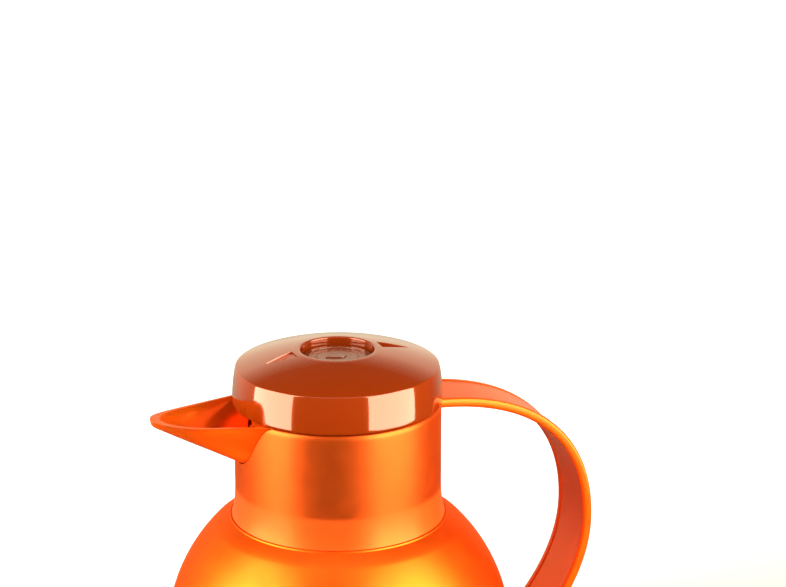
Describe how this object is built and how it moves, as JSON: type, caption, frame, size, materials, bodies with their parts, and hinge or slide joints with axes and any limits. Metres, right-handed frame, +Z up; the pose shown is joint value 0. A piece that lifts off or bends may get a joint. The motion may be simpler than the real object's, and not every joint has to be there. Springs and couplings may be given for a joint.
{
  "type": "insulated pouring jug",
  "caption": "Insulated pouring jug: ball body with glass flask inside, short spout, flat ribbon handle and screw lid with a press button that opens the valve.",
  "frame": {"origin": "on the jug's axis, in the plane that it stands on", "axes": "+Z up along the axis of the body, neck and lid; +X towards the handle, -X towards the spout; +Y completes a right-handed frame"},
  "size_m": [0.1962, 0.1504, 0.1994],
  "materials": {
    "satin_orange_plastic": "frosted satin orange moulding with a fine grain",
    "glossy_orange_plastic": "polished saturated orange moulding",
    "deep_orange_gloss": "highly polished deep orange moulding",
    "button_brown_orange": "polished brownish orange moulding",
    "white_plastic": "plain food-safe moulding, semi-matt",
    "white_silicone": "soft matt silicone",
    "grey_rubber": "matt rubber",
    "silvered_glass": "silvered glass",
    "spring_steel": "drawn wire",
    "screw_steel": "plain zinc-plated steel"
  },
  "bodies": {
    "jug": {"upper_shell": "satin_orange_plastic", "lower_shell": "satin_orange_plastic", "base_plate": "satin_orange_plastic", "neck_sleeve": "satin_orange_plastic", "spout_collar": "glossy_orange_plastic", "liner_neck_seal": "white_silicone", "handle": "glossy_orange_plastic", "handle_screw": "screw_steel", "inner_glass_bowl": "silvered_glass", "inner_glass_top": "silvered_glass", "outer_glass": "silvered_glass", "glass_spacer_1": "grey_rubber", "glass_spacer_2": "grey_rubber", "glass_spacer_3": "grey_rubber", "liner_cushion": "grey_rubber"},
    "lid_ring": {"lid_gasket": "white_silicone"},
    "lid": {"lid_cover": "deep_orange_gloss", "stopper_body": "glossy_orange_plastic", "stopper_seal": "white_silicone", "rod_seal": "white_silicone", "button_spring": "spring_steel"},
    "button": {"press_button": "button_brown_orange", "push_rod": "white_plastic", "valve_plate": "white_plastic", "valve_seal": "grey_rubber"}
  },
  "joints": [
    {"name": "lid_lift", "type": "slide", "parent": "jug", "child": "lid_ring", "axis": [0, 0, 1], "range_m": [0, 0.06]},
    {"name": "lid_turn", "type": "hinge", "parent": "lid_ring", "child": "lid", "pos_m": [0, 0, 0.1767], "axis": [0, 0, 1], "range_deg": [0, 900]},
    {"name": "button_press", "type": "slide", "parent": "lid", "child": "button", "axis": [0, 0, -1], "range_m": [0, 0.004], "stiffness_N_per_m": 600, "springref_m": -0.004, "deforming": ["button_spring"]}
  ],
  "couplings": [
    {"joint": "lid_lift", "follows": "lid_turn", "m_per_rad": 0.0038197}
  ]
}
